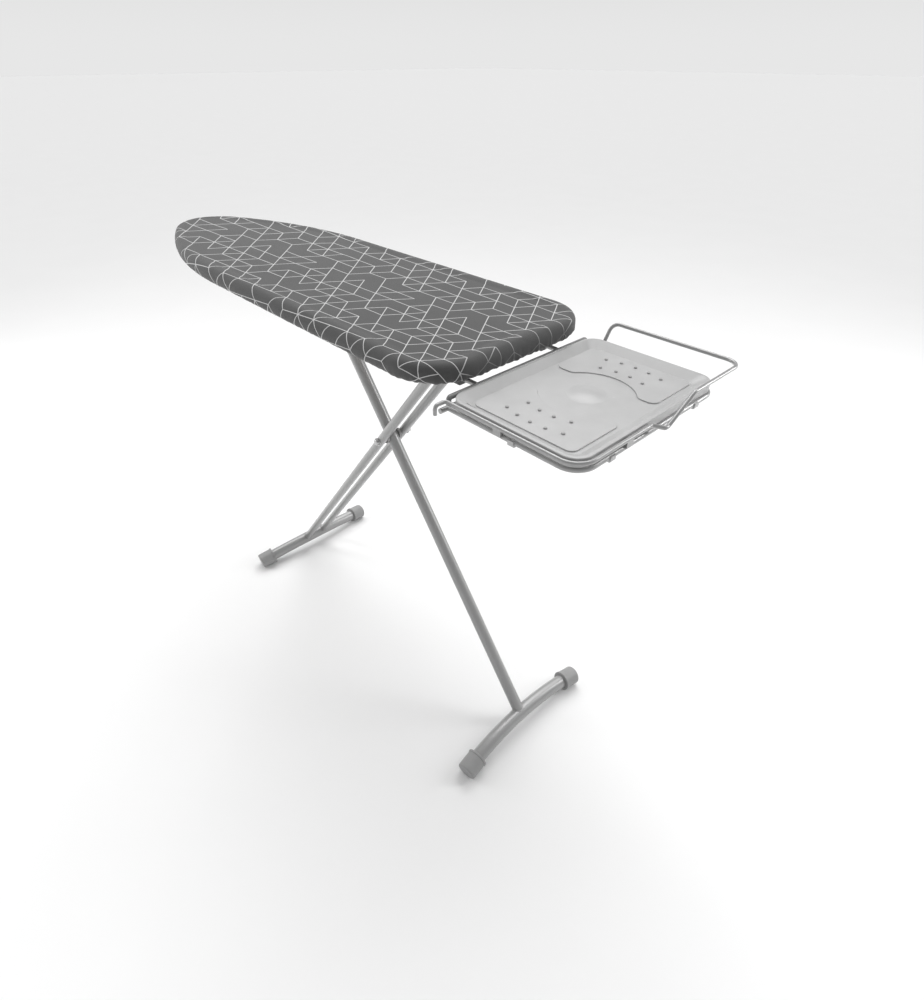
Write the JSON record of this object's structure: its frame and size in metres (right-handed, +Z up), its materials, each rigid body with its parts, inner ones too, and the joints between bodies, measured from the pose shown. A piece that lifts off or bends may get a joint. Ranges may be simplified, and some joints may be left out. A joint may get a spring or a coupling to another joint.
{
  "type": "ironing board",
  "caption": "Folding ironing board: padded deck in a patterned cotton cover, crossed tubular legs with arched feet, and a pull-out wire-framed iron rest.",
  "frame": {"origin": "on the floor, under the middle of the bounding box", "axes": "+X from the nose to the iron rest, +Y to the side with the raised rail, +Z up"},
  "size_m": [1.4209, 0.38, 0.93],
  "materials": {
    "cover_cotton": "woven cotton with printed lines",
    "foam": "open foam",
    "elastic": "braided",
    "deck_enamel": "satin",
    "zinc_steel": "satin",
    "leg_lacquer": "satin metallic",
    "cap_plastic": "fine grain",
    "dark_plastic": "fine grain",
    "tray_shell": "satin metallic",
    "stud_rubber": "matt",
    "rest_lacquer": "satin metallic",
    "dark_lacquer": "satin"
  },
  "bodies": {
    "board": {"cotton_cover": "cover_cotton", "foam_pad": "foam", "board_sheet": "deck_enamel", "rim_tube": "deck_enamel", "cover_elastic": "elastic", "nose_cross_member": "deck_enamel", "rack_cross_member_rear": "deck_enamel", "rack_cross_member_front": "deck_enamel", "hinge_cross_member": "deck_enamel", "height_rack_far": "zinc_steel", "height_rack_near": "zinc_steel", "hinge_bracket_far": "deck_enamel", "hinge_bracket_near": "deck_enamel", "slide_guide_front_far": "dark_plastic", "slide_guide_front_near": "dark_plastic", "slide_guide_rear_far": "dark_plastic", "slide_guide_rear_near": "dark_plastic", "lever_bearing_front": "dark_plastic", "lever_bearing_rear": "dark_plastic", "frame_rivets": "zinc_steel", "guide_screws": "zinc_steel", "lever_spring": "zinc_steel"},
    "outer_leg": {"outer_leg_tube_far": "leg_lacquer", "outer_leg_tube_near": "leg_lacquer", "outer_hinge_tube": "leg_lacquer", "hinge_pin_far": "zinc_steel", "hinge_pin_near": "zinc_steel", "outer_foot_tube": "leg_lacquer", "outer_foot_cap_far": "cap_plastic", "outer_foot_cap_near": "cap_plastic", "pivot_bolt": "zinc_steel", "pivot_nut": "zinc_steel", "pivot_washers": "zinc_steel", "pivot_spacers": "cap_plastic"},
    "inner_leg": {"inner_leg_tube": "leg_lacquer", "pivot_sleeve": "zinc_steel", "inner_foot_tube": "leg_lacquer", "inner_foot_cap_far": "cap_plastic", "inner_foot_cap_near": "cap_plastic", "rack_crossbar": "zinc_steel", "crossbar_cap_far": "dark_plastic", "crossbar_cap_near": "dark_plastic"},
    "height_lever": {"lever_shaft": "zinc_steel", "lever_comb": "zinc_steel", "lever_arm": "zinc_steel", "lever_grip": "dark_plastic"},
    "iron_rest": {"iron_tray": "tray_shell", "tray_studs": "stud_rubber", "ring_frame": "rest_lacquer", "ring_front_rod": "rest_lacquer", "link_bar": "dark_lacquer", "slide_rod_far": "rest_lacquer", "slide_rod_near": "rest_lacquer", "stop_collar_far": "dark_plastic", "stop_collar_near": "dark_plastic", "rail_wire": "rest_lacquer", "rail_tabs": "rest_lacquer", "tray_clips": "tray_shell"}
  },
  "joints": [
    {"name": "outer_leg_fold", "type": "hinge", "parent": "board", "child": "outer_leg", "pos_m": [0.3062, 0, 0.865], "axis": [0, 1, 0], "range_deg": [0, 47.3]},
    {"name": "leg_pivot", "type": "hinge", "parent": "outer_leg", "child": "inner_leg", "pos_m": [0.0944, 0, 0.6092], "axis": [0, 1, 0], "range_deg": [-94.7, 0]},
    {"name": "lever_swing", "type": "hinge", "parent": "board", "child": "height_lever", "pos_m": [0, 0.06, 0.9], "axis": [1, 0, 0], "range_deg": [-4, 0], "stiffness_Nm_per_rad": 1.5},
    {"name": "iron_rest_slide", "type": "slide", "parent": "board", "child": "iron_rest", "axis": [1, 0, 0], "range_m": [0, 0.1]}
  ],
  "couplings": [
    {"joint": "leg_pivot", "follows": "outer_leg_fold", "ratio": -2}
  ]
}
